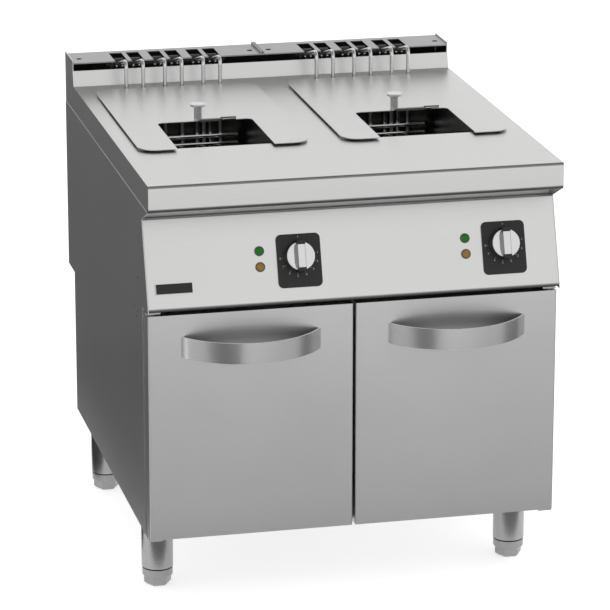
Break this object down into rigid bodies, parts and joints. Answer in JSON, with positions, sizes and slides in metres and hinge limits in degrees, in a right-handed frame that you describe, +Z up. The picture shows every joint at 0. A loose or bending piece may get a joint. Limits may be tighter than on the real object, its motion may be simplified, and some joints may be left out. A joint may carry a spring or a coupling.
{
  "type": "twin tank electric deep fryer",
  "caption": "Floor-standing catering fryer: pressed steel worktop with lidded oil tanks and swing-up heating tubes over a two-door cupboard on adjustable feet.",
  "frame": {"origin": "on the floor, below the centre of the whole box including the door handles", "axes": "+X to the user's right when facing the doors, +Y to the back, +Z up"},
  "size_m": [0.8, 0.975, 0.9105],
  "materials": {
    "satin_steel": "satin brushed stainless steel",
    "cover_steel": "fine satin stainless steel",
    "door_steel": "satin brushed stainless steel, fine grain",
    "side_steel": "fine satin stainless steel",
    "inner_steel": "mill finish steel sheet",
    "tank_steel": "pressed stainless steel, darkened by oil",
    "handle_steel": "satin stainless steel band",
    "polished_steel": "bright steel",
    "element_steel": "bright tubular sheath",
    "dark_steel": "dark coated steel",
    "leg_steel": "satin stainless tube",
    "black_plastic": "fine matt black",
    "dark_trim": "dark moulded bezel",
    "grey_plastic": "moulded grey",
    "white_plastic": "plain nylon",
    "knob_silver": "satin silver",
    "green_lens": "translucent green lens",
    "amber_lens": "translucent amber lens",
    "brass": "machined brass"
  },
  "bodies": {
    "cabinet": {"worktop": "satin_steel", "tank_left": "tank_steel", "tank_right": "tank_steel", "side_panel_left": "side_steel", "side_panel_right": "side_steel", "rear_panel": "side_steel", "base_pan": "inner_steel", "front_rail": "inner_steel", "control_panel": "satin_steel", "dial_plates": "black_plastic", "green_lamps": "green_lens", "amber_lamps": "amber_lens", "lamp_bezels": "dark_trim", "badge_plate": "black_plastic", "wiring_tray": "inner_steel", "thermostats": "grey_plastic", "contactors": "grey_plastic", "terminal_block": "grey_plastic", "hinge_plates": "polished_steel", "door_catches": "black_plastic", "rear_channel": "dark_steel", "pivot_bearings": "dark_steel", "upstand_cover_left": "cover_steel", "upstand_cover_right": "cover_steel", "drain_pipes": "tank_steel", "drain_valves": "brass", "leg_sleeves": "leg_steel", "cable_gland": "black_plastic"},
    "door_left": {"door_left_skin": "door_steel", "door_left_liner": "inner_steel", "door_left_bushes": "white_plastic", "door_left_handle": "handle_steel"},
    "door_right": {"door_right_skin": "door_steel", "door_right_liner": "inner_steel", "door_right_bushes": "white_plastic", "door_right_handle": "handle_steel"},
    "knob_left": {"knob_left_body": "black_plastic", "knob_left_cap": "knob_silver", "knob_left_spindle": "polished_steel"},
    "knob_right": {"knob_right_body": "black_plastic", "knob_right_cap": "knob_silver", "knob_right_spindle": "polished_steel"},
    "lid_left": {"lid_left_pan": "satin_steel", "lid_left_knob": "polished_steel"},
    "lid_right": {"lid_right_pan": "satin_steel", "lid_right_knob": "polished_steel"},
    "element_left": {"element_left_tubes": "element_steel", "element_left_shaft": "dark_steel", "element_left_tie_bars": "element_steel", "element_left_bulbs": "polished_steel"},
    "element_right": {"element_right_tubes": "element_steel", "element_right_shaft": "dark_steel", "element_right_tie_bars": "element_steel", "element_right_bulbs": "polished_steel"},
    "drain_left": {"drain_lever_left": "polished_steel"},
    "drain_right": {"drain_lever_right": "polished_steel"},
    "foot_front_left": {"foot_front_left": "leg_steel"},
    "foot_front_right": {"foot_front_right": "leg_steel"},
    "foot_rear_left": {"foot_rear_left": "leg_steel"},
    "foot_rear_right": {"foot_rear_right": "leg_steel"}
  },
  "joints": [
    {"name": "door_left_hinge", "type": "hinge", "parent": "cabinet", "child": "door_left", "pos_m": [-0.3895, -0.3955, 0.37], "axis": [0, 0, -1], "range_deg": [0, 110]},
    {"name": "door_right_hinge", "type": "hinge", "parent": "cabinet", "child": "door_right", "pos_m": [0.3895, -0.3955, 0.37], "axis": [0, 0, 1], "range_deg": [0, 110]},
    {"name": "knob_left_turn", "type": "hinge", "parent": "cabinet", "child": "knob_left", "pos_m": [-0.1055, -0.40194, 0.68737], "axis": [0, 0.9474, -0.32], "range_deg": [0, 285]},
    {"name": "knob_right_turn", "type": "hinge", "parent": "cabinet", "child": "knob_right", "pos_m": [0.2945, -0.40194, 0.68737], "axis": [0, 0.9474, -0.32], "range_deg": [0, 285]},
    {"name": "lid_left_lift", "type": "slide", "parent": "cabinet", "child": "lid_left", "axis": [0, 0, 1], "range_m": [0, 0.3]},
    {"name": "lid_right_lift", "type": "slide", "parent": "cabinet", "child": "lid_right", "axis": [0, 0, 1], "range_m": [0, 0.3]},
    {"name": "element_left_tilt", "type": "hinge", "parent": "cabinet", "child": "element_left", "pos_m": [-0.2, 0.4255, 0.885], "axis": [1, 0, 0], "range_deg": [-9, 0]},
    {"name": "element_right_tilt", "type": "hinge", "parent": "cabinet", "child": "element_right", "pos_m": [0.2, 0.4255, 0.885], "axis": [1, 0, 0], "range_deg": [-9, 0]},
    {"name": "drain_left_turn", "type": "hinge", "parent": "cabinet", "child": "drain_left", "pos_m": [-0.2, -0.1125, 0.4685], "axis": [0, 1, 0], "range_deg": [0, 90]},
    {"name": "drain_right_turn", "type": "hinge", "parent": "cabinet", "child": "drain_right", "pos_m": [0.2, -0.1125, 0.4685], "axis": [0, 1, 0], "range_deg": [0, 90]},
    {"name": "foot_front_left_screw", "type": "slide", "parent": "cabinet", "child": "foot_front_left", "axis": [0, 0, -1], "range_m": [0, 0.045]},
    {"name": "foot_front_right_screw", "type": "slide", "parent": "cabinet", "child": "foot_front_right", "axis": [0, 0, -1], "range_m": [0, 0.045]},
    {"name": "foot_rear_left_screw", "type": "slide", "parent": "cabinet", "child": "foot_rear_left", "axis": [0, 0, -1], "range_m": [0, 0.045]},
    {"name": "foot_rear_right_screw", "type": "slide", "parent": "cabinet", "child": "foot_rear_right", "axis": [0, 0, -1], "range_m": [0, 0.045]}
  ]
}
